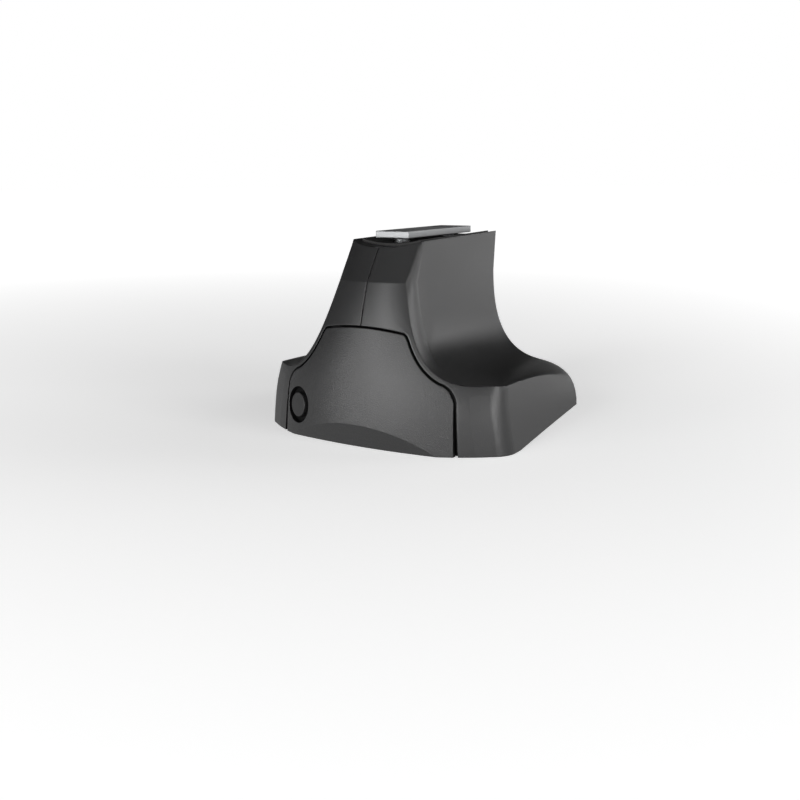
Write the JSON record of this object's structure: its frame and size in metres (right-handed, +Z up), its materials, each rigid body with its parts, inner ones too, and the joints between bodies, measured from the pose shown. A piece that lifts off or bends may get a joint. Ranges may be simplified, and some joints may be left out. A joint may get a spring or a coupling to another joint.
{
  "type": "roof bar foot",
  "caption": "Roof bar foot: winged moulded tower with a bar saddle, bolted clamp plate, lockable front cover, and a screw that raises and lowers the hook hanger.",
  "frame": {"origin": "middle of the foot's footprint at the height of its lowest edge", "axes": "+X along the car, +Y from the cover towards the car's middle along the bar, +Z up"},
  "size_m": [0.134, 0.1072, 0.096],
  "materials": {
    "housing": "fine-grained black moulding",
    "cover": "fine-grained black moulding",
    "lock_black": "smooth black",
    "base": "plain black moulding",
    "zinc": "bright zinc plate",
    "black_steel": "black coating",
    "bronze": "plain bronze",
    "rubber": "soft black rubber"
  },
  "bodies": {
    "foot": {"housing_left": "housing", "housing_right": "housing", "steel_frame": "black_steel", "base_plate": "base", "base_screws": "zinc", "frame_bolts": "zinc", "frame_nuts": "zinc", "screw_washer": "zinc", "screw_bush": "bronze", "bar_pad": "rubber", "clamp_washers": "zinc"},
    "cover": {"front_cover": "cover", "lock_sleeve": "lock_black"},
    "lock": {"lock_core": "lock_black", "lock_tongue": "zinc", "lock_nut": "zinc"},
    "screw": {"tension_screw": "zinc", "screw_clip": "black_steel"},
    "carriage": {"carriage": "zinc"},
    "hanger": {"hanger": "black_steel", "hanger_pins": "zinc", "hook_pegs": "zinc"},
    "bar_clamp": {"clamp_plate": "zinc", "clamp_bolts": "zinc"},
    "nut_front": {"clamp_nut_front": "zinc"},
    "nut_rear": {"clamp_nut_rear": "zinc"}
  },
  "joints": [
    {"name": "cover_off", "type": "slide", "parent": "foot", "child": "cover", "axis": [0, -1, 0], "range_m": [0, 0.032]},
    {"name": "lock_turn", "type": "hinge", "parent": "cover", "child": "lock", "pos_m": [-0.0365, -0.04629, 0.015], "axis": [0.3628, 0.9254, -0.1098], "range_deg": [0, 90]},
    {"name": "screw_turn", "type": "hinge", "parent": "foot", "child": "screw", "pos_m": [0, -0.0034, 0.04], "axis": [0, 1, 0], "range_deg": [-5768, 8]},
    {"name": "carriage_slide", "type": "slide", "parent": "foot", "child": "carriage", "axis": [0, 1, 0], "range_m": [0, 0.02]},
    {"name": "hanger_drop", "type": "slide", "parent": "foot", "child": "hanger", "axis": [0, 0, -1], "range_m": [-0.0001, 0.0301]},
    {"name": "nut_front_turn", "type": "hinge", "parent": "foot", "child": "nut_front", "pos_m": [0, -0.0094, 0.0756], "axis": [0, 0, 1], "range_deg": [-724, 4]},
    {"name": "nut_rear_turn", "type": "hinge", "parent": "foot", "child": "nut_rear", "pos_m": [0, 0.0346, 0.0756], "axis": [0, 0, 1], "range_deg": [-724, 4]},
    {"name": "clamp_lift", "type": "slide", "parent": "foot", "child": "bar_clamp", "axis": [0, 0, 1], "range_m": [0, 0.0025]}
  ],
  "couplings": [
    {"joint": "screw_turn", "follows": "carriage_slide", "rad_per_m": -5026.5},
    {"joint": "hanger_drop", "follows": "carriage_slide", "ratio": 1.5},
    {"joint": "nut_front_turn", "follows": "clamp_lift", "rad_per_m": -5026.5},
    {"joint": "nut_rear_turn", "follows": "clamp_lift", "rad_per_m": -5026.5}
  ]
}
